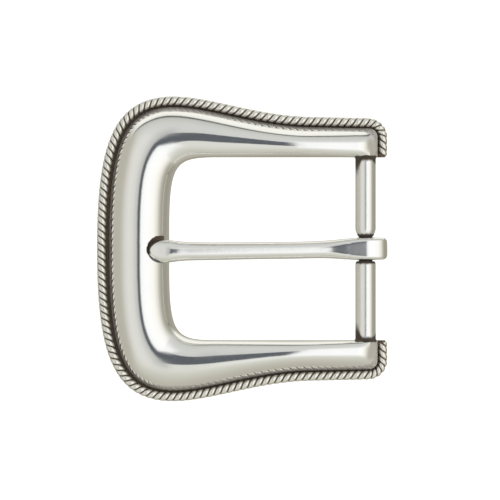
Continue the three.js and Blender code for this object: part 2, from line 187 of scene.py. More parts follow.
# Prong.
PRONG_SKEW = math.radians(0.7)    # it leans a little in its bearing
PRONG_BOW = 0.12            # how far the shank bows toward -Y, and where it starts and ends
PRONG_BOW_START = (-17.0, -6.0)
PRONG_BOW_END = (10.0, 22.0)
NOSE_LIFT = 0.18            # how far the tip points toward +Y, and where that ends
NOSE_LIFT_END = (-19.5, -16.5)
EYE_LENGTH = 4.75
EYE_HEIGHT = 2.85
EYE_BACK = 3.4
EYE_HOLE_RADIUS = 1.78
EYE_CORNER_RADIUS = 1.0
EYE_HALF_WIDTH = 2.46
EYE_START_HALF_WIDTH = 2.30
EYE_END_HALF_WIDTH = 2.34
EYE_START_ROUNDING = 1.3    # of the top's edges, where the eye begins
EYE_TOP_ROUNDING = 1.0      # over the bar's axis
EYE_END_ROUNDING = 0.7      # at its round end
EYE_NOSE = 0.985            # the eye's last section, just short of a sharp edge
EYE_NOSE_POWER = 0.92       # below 1, the round end is fuller than an ellipse
CURL_SLIT = 0.35
CURL_SLIT_OVERLAP = 0.3     # how far the slit reaches into the hole
EDGE_RISE = 1.15            # height of a rounded top edge, as a multiple of its width
EDGE_RISE_LIMIT = 0.88      # and at most this share of the section's height
LOWER_ROUNDING = 0.25
LOWER_ROUNDING_LIMIT = 0.1
HOLE_STAIN = 0.15
CUT_OVERLAP = 1.0           # how far a cutting tool reaches past what it cuts


# --- Plan curves -----------------------------------------------------------------

def smooth_step(low, high, value):
    share = np.clip((value - low) / (high - low), 0.0, 1.0)
    return share * share * (3.0 - 2.0 * share)


def mix(a, b, share):
    return a + (b - a) * share


def bezier(start, pull_start, pull_end, end, count=400):
    """Points of a cubic curve, without its last one."""
    t = np.linspace(0.0, 1.0, count, endpoint=False)[:, None]
    return ((1 - t) ** 3 * np.array(start) + 3 * (1 - t) ** 2 * t * np.array(pull_start)
            + 3 * (1 - t) * t ** 2 * np.array(pull_end) + t ** 3 * np.array(end))


def line(start, end, count=200):
    t = np.linspace(0.0, 1.0, count, endpoint=False)[:, None]
    return np.array(start) * (1 - t) + np.array(end) * t


def arc(centre, radius, start, end, count=200):
    angle = np.linspace(start, end, count, endpoint=False)
    return np.array(centre) + radius * np.stack([np.cos(angle), np.sin(angle)], 1)


class PlanCurve:
    """A curve in plan, read by the share of its length, from 0 to 1."""

    def __init__(self, stretches, end):
        self.points = np.vstack([*stretches, [end]])
        steps = np.linalg.norm(np.diff(self.points, axis=0), axis=1)
        self.lengths = np.concatenate([[0.0], np.cumsum(steps)])
        self.length = self.lengths[-1]
        self.tangents = np.gradient(self.points, self.lengths, axis=0)
        self.tangents /= np.linalg.norm(self.tangents, axis=1)[:, None]

    def at(self, share):
        place = np.asarray(share) * self.length
        point = np.stack([np.interp(place, self.lengths, self.points[:, i]) for i in (0, 1)], -1)
        tangent = np.stack([np.interp(place, self.lengths, self.tangents[:, i]) for i in (0, 1)], -1)
        return point, tangent / np.linalg.norm(tangent, axis=-1, keepdims=True)

    def inset(self, share, distance):
        """Points moved from the curve toward its right-hand side, the buckle's inside."""
        point, tangent = self.at(share)
        inward = np.stack([tangent[..., 1], -tangent[..., 0]], -1)
        return point + inward * np.asarray(distance)[..., None]

    def nearest(self, place):
        """The curve's nearest point to each place, and the distance to it."""
        points, distances = [], []
        for part in np.array_split(place, max(1, len(place) // 2000)):
            gaps = part[:, None, :] - self.points[None]
            index = np.argmin((gaps ** 2).sum(2), axis=1)
            gap = gaps[np.arange(len(part)), index]
            tangent = self.tangents[index]
            along = (gap * tangent).sum(1)
            reach = np.where((index == 0) | (index == len(self.points) - 1), 0.0, 1.0)
            foot = self.points[index] + tangent * (along * reach)[:, None]
            points.append(foot)
            distances.append(np.linalg.norm(part - foot, axis=1))
        return np.vstack(points), np.concatenate(distances)


def silhouette_curve():
    end_x = HALF_LENGTH - END_RADIUS
    end_y = END_HALF_WIDTH - END_RADIUS
    stretches = [
        bezier((-HALF_LENGTH, 0), (-HALF_LENGTH, FRONT_BOW),
               (SHOULDER_X - SHOULDER_BOW_FRONT, HALF_WIDTH), (SHOULDER_X, HALF_WIDTH)),
        bezier((SHOULDER_X, HALF_WIDTH), (SHOULDER_X + SHOULDER_BOW_ARM, HALF_WIDTH),
               (ARM_X - ARM_BOW, ARM_HALF_WIDTH), (ARM_X, ARM_HALF_WIDTH)),
        line((ARM_X, ARM_HALF_WIDTH), (end_x, END_HALF_WIDTH)),
        arc((end_x, end_y), END_RADIUS, math.pi / 2, 0.0),
        line((HALF_LENGTH, end_y), (HALF_LENGTH, OPENING_HALF)),
    ]
    return PlanCurve(stretches, (HALF_LENGTH, OPENING_HALF))


def opening_curve(end_x):
    stretches = [
        line((OPENING_LEFT, 0), (OPENING_LEFT, OPENING_STRAIGHT)),
        bezier((OPENING_LEFT, OPENING_STRAIGHT), (OPENING_LEFT, OPENING_BOW_Y),
               (OPENING_BOW_X, OPENING_HALF), (OPENING_CORNER_X, OPENING_HALF)),
        line((OPENING_CORNER_X, OPENING_HALF), (end_x, OPENING_HALF), count=600),
    ]
    return PlanCurve(stretches, (end_x, OPENING_HALF))


def foot_inset(share):
    """Distance from the silhouette to the dome's foot, past the rope and the groove."""
    return 2 * ROPE_RADIUS + mix(GROOVE_END, GROOVE_FRONT, (1 - share) ** GROOVE_TAPER)


def extended(curve, from_x):
    """The same curve up to a place on the arm, then straight on past the arm's end."""
    points = curve.points[:np.argmax(curve.points[:, 0] > from_x)]
    far_end = (HALF_LENGTH + SIDE_REACH, points[-1][1])
    beyond = line(points[-1], far_end, count=300)[1:]
    return PlanCurve([points, beyond], far_end)


SILHOUETTE = silhouette_curve()
DOME_END_X = HALF_LENGTH - foot_inset(1.0)
FRAME_END_X = DOME_END_X - FRAME_END_GAP
OPENING = opening_curve(FRAME_END_X)
SHARES = np.linspace(0.0, 1.0, 1600)
FOOT_POINTS = SILHOUETTE.inset(SHARES, foot_inset(SHARES))
OUTER_FOOT = PlanCurve([FOOT_POINTS[:-1]], FOOT_POINTS[-1])
# The two sides that the dome falls to.
FOOT_SIDE = extended(OUTER_FOOT, HALF_LENGTH - END_RADIUS - SIDE_TURN_BACK)
OPENING_SIDE = extended(OPENING, FRAME_END_X - SIDE_TURN_BACK)


# --- Mesh helpers -------------------------------------------------------------------

def make_object(name, vertices, faces, body, node):
    """A smooth-shaded mesh from points in millimetres, riding on a body in place of a node."""
    mesh = bpy.data.meshes.new(name)
    mesh.from_pydata([tuple(v) for v in np.asarray(vertices) * MM], [], faces)
    mesh.polygons.foreach_set("use_smooth", [True] * len(mesh.polygons))
    piece = bpy.data.objects.new(name, mesh)
    bpy.context.scene.collection.objects.link(piece)
    clean = bmesh.new()
    clean.from_mesh(mesh)
    bmesh.ops.remove_doubles(clean, verts=clean.verts, dist=1e-7)
    bmesh.ops.recalc_face_normals(clean, faces=clean.faces)
    clean.to_mesh(mesh)
    clean.free()
    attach(piece, body)
    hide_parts(node)
    return piece


def loft_faces(rows, columns, closed_rows=False):
    """Faces between rings of equal length, with a cap on each end ring if it is open."""
    faces = []
    row_count = rows if closed_rows else rows - 1
    for row in range(row_count):
        here, there = row * columns, ((row + 1) % rows) * columns
        for i in range(columns):
            j = (i + 1) % columns
            faces.append((here + i, here + j, there + j, there + i))
    if not closed_rows:
        faces.append(tuple(range(columns))[::-1])
        faces.append(tuple(range((rows - 1) * columns, rows * columns)))
    return faces


def cut(piece, tool_vertices, tool_faces):
    """Cuts a closed tool, given in millimetres, out of a piece."""
    mesh = bpy.data.meshes.new("tool")
    mesh.from_pydata([tuple(v) for v in np.asarray(tool_vertices) * MM], [], tool_faces)
    tool = bpy.data.objects.new("tool", mesh)
    bpy.context.scene.collection.objects.link(tool)
    modifier = piece.modifiers.new("cut", "BOOLEAN")
    modifier.operation = "DIFFERENCE"
    modifier.solver = "EXACT"
    modifier.object = tool
    evaluated = piece.evaluated_get(bpy.context.evaluated_depsgraph_get())
    result = bpy.data.meshes.new_from_object(evaluated)
    piece.modifiers.clear()
    old = piece.data
    piece.data = result
    bpy.data.meshes.remove(old)
    bpy.data.objects.remove(tool)
    bpy.data.meshes.remove(mesh)


def round_tool(centre, axis, radius, start, end, sides=96):
    """Vertices and faces of a cylinder along "Y" or "Z" between two places on that axis."""
    angle = np.linspace(0.0, 2 * math.pi, sides, endpoint=False)
    ring = np.stack([radius * np.cos(angle), radius * np.sin(angle)], 1)
    rings = []
    for place in (start, end):
        if axis == "Z":
            rings.append(np.column_stack([centre[0] + ring[:, 0], centre[1] + ring[:, 1],
                                          np.full(sides, place)]))
        else:
            rings.append(np.column_stack([centre[0] + ring[:, 0], np.full(sides, place),
                                          centre[1] - ring[:, 1]]))
    return np.vstack(rings), loft_faces(2, sides)


def sharpen(piece, degrees):
    """Keeps smooth shading but breaks it at edges steeper than an angle."""
    piece.data.polygons.foreach_set("use_smooth", [True] * len(piece.data.polygons))
    piece.data.set_sharp_from_angle(angle=math.radians(degrees))


def paint_patina_and_shade(piece, shade):
    """Stores how dark each vertex is with patina and painted shade, from 0 to 1, as a function of its
    place.
    """
    mesh = piece.data
    places = np.empty(len(mesh.vertices) * 3)
    mesh.vertices.foreach_get("co", places)
    values = np.clip(shade(places.reshape(-1, 3) / MM), 0.0, 1.0)
    if "patina" in mesh.attributes:
        mesh.attributes.remove(mesh.attributes["patina"])
    # The attribute named patina holds painted shade as well as patina.
    layer = mesh.attributes.new("patina", "FLOAT", "POINT")
    layer.data.foreach_set("value", values.astype(np.float32))


# --- Materials ----------------------------------------------------------------------

def add_node(tree, kind, **settings):
    node = tree.nodes.new(kind)
    for key, value in settings.items():
        if key in node.inputs:
            node.inputs[key].default_value = value
        else:
            setattr(node, key, value)
    return node


# Colours of patina, also used for painted shade: in the groove, and where light reaches it from all
# sides.
GROOVE_STAIN_AND_SHADE = (0.17, 0.13, 0.092)
OPEN_STAIN_AND_SHADE = (0.06, 0.045, 0.032)


def metal_material(name, color, stain_and_shade, roughness, streak_scale, bump_strength, waviness=0.2):
    """Plated and polished metal, dark with patina and painted shade where the mesh says so.

    streak_scale stretches the fine polishing marks along the axes of the piece."""
    material = bpy.data.materials.new(name)
    material.use_nodes = True
    tree = material.node_tree
    link = tree.links.new
    shader = tree.nodes["Principled BSDF"]
    coordinates = add_node(tree, "ShaderNodeTexCoord")

    # Fine polishing marks and the faint waviness of a hand-finished casting.
    stretch = add_node(tree, "ShaderNodeMapping")
    stretch.inputs["Scale"].default_value = streak_scale
    marks = add_node(tree, "ShaderNodeTexNoise", Scale=9000.0, Detail=3.0, Roughness=0.6)
    waves = add_node(tree, "ShaderNodeTexNoise", Scale=420.0, Detail=2.0, Roughness=0.5)
    link(coordinates.outputs["Object"], stretch.inputs["Vector"])
    link(stretch.outputs["Vector"], marks.inputs["Vector"])
    link(coordinates.outputs["Object"], waves.inputs["Vector"])
    fine = add_node(tree, "ShaderNodeBump", Strength=bump_strength, Distance=0.00002)
    broad = add_node(tree, "ShaderNodeBump", Strength=waviness, Distance=0.00004)
    link(marks.outputs["Fac"], fine.inputs["Height"])
    link(waves.outputs["Fac"], broad.inputs["Height"])
    link(broad.outputs["Normal"], fine.inputs["Normal"])

    # Patina and painted shade: the painted amount, broken up by noise at its edge.
    painted = add_node(tree, "ShaderNodeAttribute", attribute_name="patina")
    grain = add_node(tree, "ShaderNodeTexNoise", Scale=2600.0, Detail=4.0, Roughness=0.65)
    link(stretch.outputs["Vector"], grain.inputs["Vector"])
    spread = add_node(tree, "ShaderNodeMath", operation="MULTIPLY_ADD")
    spread.inputs[1].default_value = 0.5
    link(grain.outputs["Fac"], spread.inputs[0])
    link(painted.outputs["Fac"], spread.inputs[2])
    edge = add_node(tree, "ShaderNodeMapRange", interpolation_type="SMOOTHSTEP")
    edge.inputs["From Min"].default_value = 0.5
    edge.inputs["From Max"].default_value = 0.95
    link(spread.outputs["Value"], edge.inputs["Value"])
    amount = edge.outputs["Result"]

    # Slight drift in the plate's brightness.
    drift = add_node(tree, "ShaderNodeTexNoise", Scale=160.0, Detail=2.0)
    link(coordinates.outputs["Object"], drift.inputs["Vector"])
    plate = add_node(tree, "ShaderNodeMix", data_type="RGBA")
    plate.inputs["A"].default_value = (*[c * 0.95 for c in color], 1.0)
    plate.inputs["B"].default_value = (*color, 1.0)
    link(drift.outputs["Fac"], plate.inputs["Factor"])
    tint = add_node(tree, "ShaderNodeMix", data_type="RGBA")
    tint.inputs["B"].default_value = (*stain_and_shade, 1.0)
    link(plate.outputs["Result"], tint.inputs["A"])
    link(amount, tint.inputs["Factor"])
    link(tint.outputs["Result"], shader.inputs["Base Color"])

    gloss = add_node(tree, "ShaderNodeMapRange")
    gloss.inputs["To Min"].default_value = roughness * 0.8
    gloss.inputs["To Max"].default_value = roughness * 1.25
    link(marks.outputs["Fac"], gloss.inputs["Value"])
    dulled = add_node(tree, "ShaderNodeMix", data_type="FLOAT")
    dulled.inputs["B"].default_value = 0.62
    link(gloss.outputs["Result"], dulled.inputs["A"])
    link(amount, dulled.inputs["Factor"])
    link(dulled.outputs["Result"], shader.inputs["Roughness"])

    metalness = add_node(tree, "ShaderNodeMapRange")
    metalness.inputs["To Min"].default_value = 1.0
    metalness.inputs["To Max"].default_value = 0.1
    link(amount, metalness.inputs["Value"])
    link(metalness.outputs["Result"], shader.inputs["Metallic"])
    link(fine.outputs["Normal"], shader.inputs["Normal"])
    return material


# --- Frame casting ------------------------------------------------------------------

def dome_fall(reach, fullness):
    """Share of the fall from the crest at a share of the way to the foot."""
    depth = 1 - np.sqrt(1 - (fullness * reach) ** 2)
    return depth / (1 - np.sqrt(1 - fullness ** 2))


def outer_foot_height(x):
    """Height of the dome's foot in the groove."""
    return mix(OUTER_FOOT_HEIGHT, OUTER_FOOT_ARM_HEIGHT, smooth_step(*OUTER_FOOT_RISE, x))


def end_drop(x):
    """How far the crest has dropped toward an arm's end."""
    into_end = np.clip(END_RUN - (DOME_END_X - x), 0.0, END_RUN)
    bent = into_end ** 2 / (2 * END_BEND)
    return END_SLOPE * np.where(into_end < END_BEND, bent, into_end - END_BEND / 2)


def dome_height(place):
    """Height of the dome over points of the plan. It falls from the crest to the groove on
    one side and to the opening's edge on the other, and bends down at an arm's end."""
    to_outer = FOOT_SIDE.nearest(place)[1]
    to_inner = OPENING_SIDE.nearest(place)[1]
    x = place[:, 0]
    across = to_inner / (to_inner + to_outer)
    place_before_waist = mix(CREST_PLACE_FRONT, CREST_PLACE_ARM, smooth_step(*CREST_SWING, x))
    crest_place = mix(place_before_waist, CREST_PLACE_END, smooth_step(*WAIST, x))
    crest = mix(CREST_HEIGHT, CREST_END_HEIGHT, smooth_step(*CREST_FALL, x)) - end_drop(x)
    wall_top = mix(INNER_FOOT_HEIGHT, INNER_FOOT_ARM_HEIGHT, smooth_step(*INNER_FOOT_RISE, x))
    inner_foot = np.minimum(wall_top, crest - LEAST_FALL)
    outer_fullness = mix(FULLNESS, FULLNESS_ARM, smooth_step(*OUTER_FOOT_RISE, x))
    outward = np.clip((across - crest_place) / (1 - crest_place), 0.0, 1.0)
    inward = np.clip((crest_place - across) / crest_place, 0.0, 1.0)
    outer_fall = (crest - outer_foot_height(x)) * dome_fall(outward, outer_fullness)
    inner_fall = (crest - inner_foot) * dome_fall(inward, FULLNESS)
    return crest - outer_fall - inner_fall


def frame_sections(count, dome_steps):
    """Closed sections of the upper half, from the front rail's middle to the arm's end."""
    u = 1 - (1 - np.linspace(0.0, 1.0, count)) ** 1.5
    foot = SILHOUETTE.inset(u, foot_inset(u))
    ledge = SILHOUETTE.inset(u, np.full(count, LEDGE_INSET))
    inner = OPENING.nearest(foot)[0]
    width = np.linalg.norm(ledge - inner, axis=1)
    across = (ledge - inner) / width[:, None]

    columns = []

    def add(distance, height):
        place = inner + across * np.broadcast_to(distance, (count,))[:, None]
        columns.append(np.column_stack([place, np.broadcast_to(height, (count,))]))

    # Rounded back edge and wall of the opening.
    for angle in np.linspace(0.0, math.pi / 2, 6):
        add(BACK_ROUNDING * (1 - math.sin(angle)), BACK_ROUNDING * (1 - math.cos(angle)))
    inner_foot = dome_height(inner)
    for share in (0.25, 0.5, 0.75, 0.95):
        add(0.0, mix(BACK_ROUNDING, inner_foot, share))

    # The dome, with closer points toward its steep feet.
    for share in (1 - np.cos(np.linspace(0.0, math.pi, dome_steps))) / 2:
        place = mix(inner, foot, share)
        columns.append(np.column_stack([place, dome_height(place)]))

    # The groove's wall, the ledge under the rope and the rounded outer edge.
    drop = dome_height(foot) - LEDGE_HEIGHT
    for share, rise in ((0.0, 0.5), (0.05, 0.1), (0.12, 0.0), (0.5, 0.0)):
        columns.append(np.column_stack([mix(foot, ledge, share), LEDGE_HEIGHT + rise * drop]))
    for angle in np.linspace(0.0, math.pi / 2, 5):
        add(width - LEDGE_ROUNDING * (1 - math.sin(angle)),
            LEDGE_HEIGHT - LEDGE_ROUNDING * (1 - math.cos(angle)))
    for angle in np.linspace(0.0, math.pi / 2, 6):
        add(width - BACK_ROUNDING * (1 - math.cos(angle)), BACK_ROUNDING * (1 - math.sin(angle)))

    # The back plane and the hollow in it.
    hollow_half = np.minimum(width * HOLLOW_WIDTH_SHARE, HOLLOW_MAX_WIDTH) / 2
    runout = smooth_step(HOLLOW_END_X - HOLLOW_RUNOUT, HOLLOW_END_X, foot[:, 0])
    depth = HOLLOW_DEPTH * (1 - runout)
    land = width / 2 - hollow_half
    add(width / 2 + hollow_half + LAND_STEP * land, 0.0)
    add(width / 2 + hollow_half * HOLLOW_BRIM, 0.0)
    for angle in np.linspace(0.0, math.pi, 19):
        side = math.copysign(abs(math.cos(angle)) ** HOLLOW_SIDE_POWER, math.cos(angle))
        add(width / 2 + side * hollow_half, depth * math.sin(angle) ** HOLLOW_RISE_POWER)
    add(width / 2 - hollow_half * HOLLOW_BRIM, 0.0)
    add(width / 2 - hollow_half - LAND_STEP * land, 0.0)
    return np.stack(columns, 1)


def frame_patina_and_shade(place):
    """Dark with patina in the groove and on the ledge, in the seat and round the bar's ends, and hazy
    at the dome's outer foot. In the seat the dark is patina with painted shade, kept to the +Y side
    while the lit -Y side stays bright."""
    x, y, z = place.T
    plan = np.column_stack([x, np.abs(y)])
    from_rim = SILHOUETTE.nearest(plan)[1]
    in_rebate = (from_rim < foot_inset(0.0) + GROOVE_REACH) & (z > LEDGE_HEIGHT - REBATE_DEPTH)
    above_foot = z - outer_foot_height(x)
    dark = 1 - smooth_step(*GROOVE_DARK, above_foot)
    hazy = GROOVE_HAZE_AMOUNT * (1 - smooth_step(*GROOVE_HAZE, above_foot))
    groove = in_rebate * np.maximum(dark, hazy)
    from_seat = np.linalg.norm(place[:, :2] - SEAT_CENTRE, axis=1)
    seat = (from_seat < SEAT_RADIUS + SEAT_MARGIN[0]) & (z > SEAT_FLOOR - SEAT_MARGIN[1])
    # Painted shade: the seat's dark fades out toward -Y, so only its +Y side is darkened.
    seat = seat * smooth_step(*SEAT_DARK, y - SEAT_CENTRE[1])
    from_bar = np.hypot(x - HINGE[0], z - HINGE[2])
    near_bar = 1 - smooth_step(BAR_RADIUS, BAR_RADIUS + BAR_END_DARK, from_bar)
    near_bar = near_bar * (np.abs(y) < OPENING_HALF + BAR_END_MARGIN)
    return np.maximum.reduce([groove, seat, near_bar])


def build_frame():
    half = frame_sections(count=340, dome_steps=56)
    mirrored = half[1:] * [1, -1, 1]
    sections = np.concatenate([half[::-1], mirrored])
    rows, columns = sections.shape[:2]
    piece = make_object("frame_casting_fine", sections.reshape(-1, 3), loft_faces(rows, columns),
                        "frame", "frame_casting")
    cut(piece, *round_tool(SEAT_CENTRE, "Z", SEAT_RADIUS, SEAT_FLOOR, CREST_HEIGHT + CUT_OVERLAP))
    sharpen(piece, degrees=38)
    paint_patina_and_shade(piece, frame_patina_and_shade)
    piece.data.materials.append(metal_material(
        "antique_silver_cast", (0.93, 0.925, 0.90), GROOVE_STAIN_AND_SHADE,
        roughness=0.08, streak_scale=(1, 1, 1), bump_strength=0.15))


# --- Rope border --------------------------------------------------------------------

def rope_centre(place):
    """Point and outward direction on the rope's centre line, from the lower arm's end
    clockwise to the upper arm's end, by distance in millimetres."""
    share = place / SILHOUETTE.length - 1
    point = SILHOUETTE.inset(np.abs(share), np.full(share.shape, ROPE_RADIUS))
    tangent = SILHOUETTE.at(np.abs(share))[1]
    side = np.where(share < 0, -1.0, 1.0)
    outward = np.stack([-tangent[..., 1], tangent[..., 0] * side], -1)
    return np.stack([point[..., 0], point[..., 1] * side], -1), outward


def build_rope():
    around = np.linspace(0.0, 2 * math.pi, ROPE_SIDES, endpoint=False)
    across = -np.cos(np.linspace(0.0, math.pi, STRAND_STEPS + 1))[:-1]
    length = 2 * SILHOUETTE.length
    lead = STRANDS * STRAND_PITCH
    strand_count = int(math.ceil(length / STRAND_PITCH)) + STRANDS + 1
    starts = (np.arange(strand_count)[:, None] + (across + 1) / 2).ravel() * STRAND_PITCH
    place = starts[:, None] - lead * around[None] / (2 * math.pi)
    place = np.clip(place, 0.0, length)
    phase = (place + lead * around / (2 * math.pi)) / STRAND_PITCH
    from_top = 2 * (phase - np.floor(phase)) - 1
    bulge = 1 - np.sqrt(1 - STRAND_FULLNESS * from_top ** 2)
    from_end = np.minimum(place, length - place)
    into_end = np.clip(1 - from_end / ROPE_END_ROUNDING, 0.0, 1.0)
    nose = np.sqrt(1 - ROPE_END_FULLNESS * into_end ** 2)
    radius = (ROPE_RADIUS - STRAND_DEPTH * bulge) * nose
    point, outward = rope_centre(place)
    reach = radius * np.cos(around)
    vertices = np.concatenate([
        point + outward * reach[..., None],
        (ROPE_HEIGHT + radius * np.sin(around))[..., None],
    ], -1)
    rows, columns = vertices.shape[:2]
    piece = make_object("rope_border_twisted", vertices.reshape(-1, 3), loft_faces(rows, columns),
                        "frame", "rope_border")
    sharpen(piece, degrees=60)

    def rope_patina_and_shade(place):
        plan = np.column_stack([place[:, 0], np.abs(place[:, 1])])
        foot, _ = SILHOUETTE.nearest(plan)
        inset = np.linalg.norm(plan - foot, axis=1)
        from_centre = np.hypot(inset - ROPE_RADIUS, place[:, 2] - ROPE_HEIGHT)
        deep, shallow = (ROPE_RADIUS - depth for depth in CREVICE_DEPTH)
        crevice = 1 - smooth_step(deep, shallow, from_centre)
        # Patina with painted shade on the rope's side toward the dome; the rope is also darker low
        # down.
        inner_side = smooth_step(INNER_SIDE[0] * ROPE_RADIUS, INNER_SIDE[1] * ROPE_RADIUS, inset)
        lowest, highest = (ROPE_HEIGHT - depth for depth in LOW_DEPTH)
        low = 1 - smooth_step(lowest, highest, place[:, 2])
        return np.maximum.reduce([crevice, INNER_SIDE_AMOUNT * inner_side, LOW_AMOUNT * low])

    paint_patina_and_shade(piece, rope_patina_and_shade)
    piece.data.materials.append(metal_material(
        "antique_silver_rope", (0.88, 0.865, 0.81), GROOVE_STAIN_AND_SHADE,
        roughness=0.16, streak_scale=(1, 1, 1), bump_strength=0.4))


# --- Strap bar ----------------------------------------------------------------------

def bar_radius(y):
    """The bar's radius along its length: fillets at the arms, the tapered upper shoulder
    and the nearly square lower shoulder of the neck."""
    from_arm = OPENING_HALF - np.abs(y)
    flare = BAR_FLARE * np.clip(1 - from_arm / BAR_FLARE_LENGTH, 0.0, 1.0) ** 2
    taper = smooth_step(NECK_HALF - UPPER_SHOULDER_START, NECK_HALF + NECK_TAPER, y)
    upper = taper ** UPPER_SHOULDER_POWER
    upper_radius = mix(NECK_RADIUS + UPPER_SHOULDER_STEP, BAR_RADIUS, upper)
    lower = np.clip((-NECK_HALF - y) / LOWER_SHOULDER_RUN, 0.0, 1.0)
    lower_radius = BAR_RADIUS - LOWER_SHOULDER_EASE * (1 - lower) ** 2
    shoulder = np.where(y > 0, upper_radius, lower_radius)
    return np.where(np.abs(y) < NECK_HALF, NECK_RADIUS, shoulder) + flare


def build_bar():
    # Rings along the bar, closer at the fillets and at the neck's two shoulders, where a
    # hair's breadth between two rings makes the step.
    end = OPENING_HALF + BAR_INSERT
    hair = 1e-3
    y = np.concatenate([
        np.linspace(-end, -end + 1.0, 14),
        np.linspace(-end + 1.1, -NECK_HALF - 0.5, 50),
        np.linspace(-NECK_HALF - 0.45, -NECK_HALF - hair, 12),
        np.linspace(-NECK_HALF + hair, NECK_HALF - hair, 12),
        np.linspace(NECK_HALF + hair, NECK_HALF + NECK_TAPER, 16),
        np.linspace(NECK_HALF + NECK_TAPER + 0.3, end - 1.1, 50),
        np.linspace(end - 1.0, end, 14),
    ])
    angle = np.linspace(0.0, 2 * math.pi, 72, endpoint=False)
    radius = bar_radius(y)[:, None]
    vertices = np.stack([
        HINGE[0] + radius * np.cos(angle),
        np.broadcast_to(y[:, None], (len(y), len(angle))),
        HINGE[2] - radius * np.sin(angle),
    ], -1)
    piece = make_object("strap_bar_turned", vertices.reshape(-1, 3), loft_faces(len(y), len(angle)),
                        "frame", "strap_bar")
    sharpen(piece, degrees=40)

    def bar_patina_and_shade(place):
        x, y, _ = place.T
        from_arm = OPENING_HALF - np.abs(y)
        from_axis = (x - HINGE[0]) / BAR_RADIUS
        front_side = smooth_step(*BAR_STAIN_FRONT, from_axis)
        rear_side = BAR_STAIN_REAR_SHARE * smooth_step(*BAR_STAIN_REAR, from_axis)
        run = mix(BAR_STAIN[0], BAR_STAIN[1], np.maximum(front_side, rear_side))
        ends = 1 - from_arm / run
        # Patina with painted shade on the bar beside the prong's eye.
        neck = 1 - (np.abs(y) - NECK_HALF) / NECK_PATINA_AND_SHADE
        return np.maximum(ends, neck)

    paint_patina_and_shade(piece, bar_patina_and_shade)
    piece.data.materials.append(metal_material(
        "antique_silver_bar", (0.92, 0.915, 0.89), OPEN_STAIN_AND_SHADE,
        roughness=0.2, streak_scale=(1, 0.08, 1), bump_strength=0.3))


# --- Prong --------------------------------------------------------------------------

# Stations along the prong: x, half width, top, underside, and the width of its rounded edges.
PRONG_STATIONS = np.array([
    (-20.2, 0.85, 6.55, 5.62, 0.82),
    (-19.8, 1.42, 6.80, 5.50, 1.36),
    (-19.0, 2.02, 7.05, 5.42, 1.92),
    (-17.9, 2.38, 7.33, 5.40, 2.25),
    (-17.2, 2.44, 7.46, 5.40, 2.35),
    (-16.3, 2.46, 7.61, 5.42, 2.40),
    (-15.3, 2.40, 7.66, 5.45, 2.38),
    (-14.3, 2.25, 7.64, 5.42, 2.25),
    (-12.0, 2.03, 7.51, 5.30, 1.95),
    (-4.0, 1.90, 7.06, 4.90, 1.80),
    (8.0, 1.85, 6.36, 4.20, 1.75),
    (14.0, 1.85, 6.02, 3.87, 1.75),
    (17.4, 1.91, 5.83, 3.68, 1.80),
    (20.0, 2.04, 5.73, 3.50, 1.60),
    (22.6, 2.27, 5.75, 3.35, 1.36),
])


def prong_section(x, half, top, under, rounding):
    """A closed section: rounded top edges, straight sides and small lower edges."""
    height = top - under
    rise = min(EDGE_RISE * rounding, EDGE_RISE_LIMIT * height)
    lower = min(LOWER_ROUNDING, LOWER_ROUNDING_LIMIT * height)
    ring = []
    for angle in np.linspace(0.0, math.pi / 2, 13):
        ring.append((half - rounding * (1 - math.cos(angle)), top - rise * (1 - math.sin(angle))))
    flat = half - rounding
    for share in (0.6, 0.2, -0.2, -0.6):
        ring.append((flat * share, top))
    for angle in np.linspace(math.pi / 2, math.pi, 13):
        ring.append((-half - rounding * (-1 - math.cos(angle)), top - rise * (1 - math.sin(angle))))
    for angle in np.linspace(math.pi, 1.5 * math.pi, 5):
        ring.append((-half + lower * (1 + math.cos(angle)), under + lower * (1 + math.sin(angle))))
    for share in (-0.4, 0.4):
        ring.append((half * share, under))
    for angle in np.linspace(1.5 * math.pi, 2 * math.pi, 5):
        ring.append((half - lower * (1 - math.cos(angle)), under + lower * (1 + math.sin(angle))))
    return [(x, y, z) for y, z in ring]


def smooth_through(stations, x):
    """A smooth curve through the stations' values that doesn't overshoot them."""
    knots, values = stations[:, 0], stations[:, 1:]
    slopes = np.diff(values, axis=0) / np.diff(knots)[:, None]
    product = slopes[:-1] * slopes[1:]
    mean = 2 * product / np.where(product > 0, slopes[:-1] + slopes[1:], 1.0)
    inner = np.where(product > 0, mean, 0.0)
    tangents = np.vstack([slopes[:1], inner, slopes[-1:]])
    index = np.clip(np.searchsorted(knots, x) - 1, 0, len(knots) - 2)
    span = (knots[index + 1] - knots[index])[:, None]
    t = (x[:, None] - knots[index][:, None]) / span
    return ((1 + 2 * t) * (1 - t) ** 2 * values[index] + t * (1 - t) ** 2 * span * tangents[index]
            + t ** 2 * (3 - 2 * t) * values[index + 1] + t ** 2 * (t - 1) * span * tangents[index + 1])


def shank_sections():
    """The prong's sections from its tip to the start of the eye."""
    blade_end = -14.0
    shank_end = HINGE[0] - EYE_BACK - 0.05
    x = np.concatenate([
        np.linspace(PRONG_STATIONS[0, 0], blade_end, 50, endpoint=False),
        np.linspace(blade_end, shank_end, 110),
    ])
    shift = PRONG_BOW * smooth_step(*PRONG_BOW_START, x) * (1 - smooth_step(*PRONG_BOW_END, x))
    shift -= NOSE_LIFT * (1 - smooth_step(*NOSE_LIFT_END, x))
    shank = smooth_through(PRONG_STATIONS, np.minimum(x, PRONG_STATIONS[-1, 0]))
    sections = []
    for place, sideways, values in zip(x, shift, shank):
        sections.append([(px, y - sideways, z) for px, y, z in prong_section(place, *values)])
    return sections


